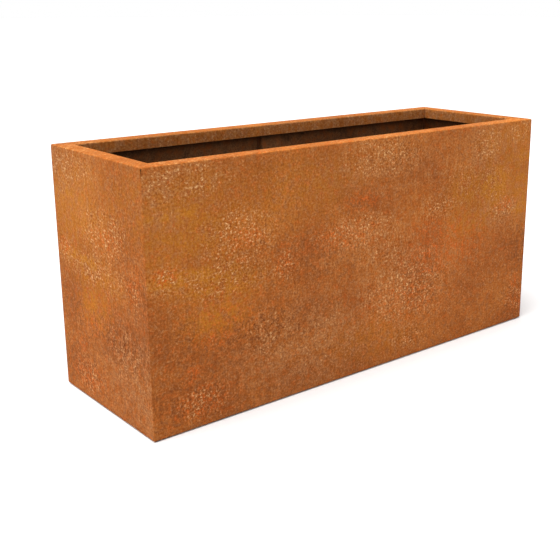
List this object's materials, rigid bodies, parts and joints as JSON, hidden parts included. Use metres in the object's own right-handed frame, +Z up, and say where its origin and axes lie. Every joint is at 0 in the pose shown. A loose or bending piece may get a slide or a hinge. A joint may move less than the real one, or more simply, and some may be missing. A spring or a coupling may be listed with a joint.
{
  "type": "planter box",
  "caption": "Rectangular weathering-steel planter box of folded sheet, with an inturned rim, a raised drained floor and screw-adjustable levelling feet.",
  "frame": {"origin": "on the ground, under the middle of the box, with every foot wound right in", "axes": "+X along the length to the right end, +Y from the front wall to the back wall, +Z up"},
  "size_m": [1.2, 0.4, 0.572],
  "materials": {
    "corten": "matt orange-brown rust patina on weathering steel, mottled, with fine upright streaks",
    "dark_corten": "matt dark rust on weathering steel, inside and underneath",
    "zinc_steel": "zinc-plated steel",
    "black_plastic": "moulded black polyamide"
  },
  "bodies": {
    "planter": {"back_panel": "corten", "back_stiffener": "dark_corten", "base_bearer_centre": "dark_corten", "base_bearer_left": "dark_corten", "base_bearer_right": "dark_corten", "base_plate": "dark_corten", "cross_tie": "dark_corten", "foot_lock_nut_back_left": "zinc_steel", "foot_lock_nut_back_right": "zinc_steel", "foot_lock_nut_front_left": "zinc_steel", "foot_lock_nut_front_right": "zinc_steel", "foot_weld_nut_back_left": "zinc_steel", "foot_weld_nut_back_right": "zinc_steel", "foot_weld_nut_front_left": "zinc_steel", "foot_weld_nut_front_right": "zinc_steel", "front_panel": "corten", "front_stiffener": "dark_corten", "left_end_panel": "corten", "right_end_panel": "corten", "tie_bolt_back_lower": "zinc_steel", "tie_bolt_back_upper": "zinc_steel", "tie_bolt_front_lower": "zinc_steel", "tie_bolt_front_upper": "zinc_steel", "tie_nut_back_lower": "zinc_steel", "tie_nut_back_upper": "zinc_steel", "tie_nut_front_lower": "zinc_steel", "tie_nut_front_upper": "zinc_steel"},
    "foot_front_left": {"foot_pad_front_left": "black_plastic"},
    "stud_front_left": {"foot_stud_front_left": "zinc_steel"},
    "foot_front_right": {"foot_pad_front_right": "black_plastic"},
    "stud_front_right": {"foot_stud_front_right": "zinc_steel"},
    "foot_back_left": {"foot_pad_back_left": "black_plastic"},
    "stud_back_left": {"foot_stud_back_left": "zinc_steel"},
    "foot_back_right": {"foot_pad_back_right": "black_plastic"},
    "stud_back_right": {"foot_stud_back_right": "zinc_steel"}
  },
  "joints": [
    {"name": "foot_front_left_slide", "type": "slide", "parent": "planter", "child": "foot_front_left", "axis": [0, 0, -1], "range_m": [0, 0.02]},
    {"name": "foot_front_left_screw", "type": "hinge", "parent": "foot_front_left", "child": "stud_front_left", "pos_m": [-0.52, -0.13, 0.03], "axis": [0, 0, -1], "range_deg": [0, 4115]},
    {"name": "foot_front_right_slide", "type": "slide", "parent": "planter", "child": "foot_front_right", "axis": [0, 0, -1], "range_m": [0, 0.02]},
    {"name": "foot_front_right_screw", "type": "hinge", "parent": "foot_front_right", "child": "stud_front_right", "pos_m": [0.52, -0.13, 0.03], "axis": [0, 0, -1], "range_deg": [0, 4115]},
    {"name": "foot_back_left_slide", "type": "slide", "parent": "planter", "child": "foot_back_left", "axis": [0, 0, -1], "range_m": [0, 0.02]},
    {"name": "foot_back_left_screw", "type": "hinge", "parent": "foot_back_left", "child": "stud_back_left", "pos_m": [-0.52, 0.13, 0.03], "axis": [0, 0, -1], "range_deg": [0, 4115]},
    {"name": "foot_back_right_slide", "type": "slide", "parent": "planter", "child": "foot_back_right", "axis": [0, 0, -1], "range_m": [0, 0.02]},
    {"name": "foot_back_right_screw", "type": "hinge", "parent": "foot_back_right", "child": "stud_back_right", "pos_m": [0.52, 0.13, 0.03], "axis": [0, 0, -1], "range_deg": [0, 4115]}
  ],
  "couplings": [
    {"joint": "foot_front_left_screw", "follows": "foot_front_left_slide", "rad_per_m": 3590.4},
    {"joint": "foot_front_right_screw", "follows": "foot_front_right_slide", "rad_per_m": 3590.4},
    {"joint": "foot_back_left_screw", "follows": "foot_back_left_slide", "rad_per_m": 3590.4},
    {"joint": "foot_back_right_screw", "follows": "foot_back_right_slide", "rad_per_m": 3590.4}
  ]
}
